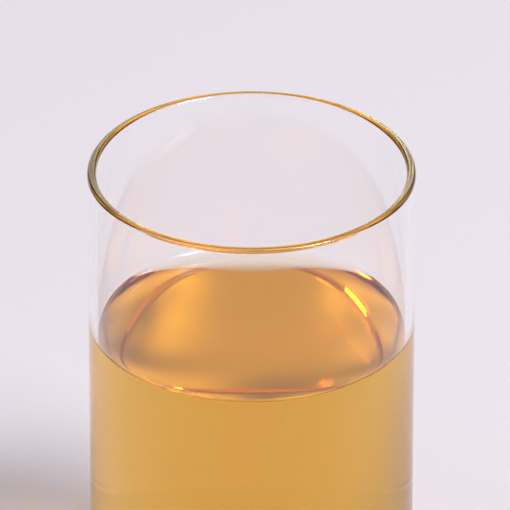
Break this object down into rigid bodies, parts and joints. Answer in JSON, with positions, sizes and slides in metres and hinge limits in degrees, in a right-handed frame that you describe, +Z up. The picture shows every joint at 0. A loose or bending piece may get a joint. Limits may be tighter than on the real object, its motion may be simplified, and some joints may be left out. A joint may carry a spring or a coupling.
{
  "type": "glass cup of tea",
  "caption": "Straight-sided clear drinking glass with a full-round rim and a flat bottom with a small heel radius, about two thirds full of clear amber tea that climbs slightly at the wall.",
  "frame": {"origin": "centre of the foot, on the surface that the glass stands on", "axes": "+Z up along the glass's axis; the glass is round, so +X and +Y are free"},
  "size_m": [0.076, 0.076, 0.127],
  "materials": {
    "clear_glass": "clear and colourless, fire-polished",
    "tea": "clear amber liquid"
  },
  "bodies": {
    "root": {"glass": "clear_glass", "tea": "tea"}
  },
  "joints": []
}
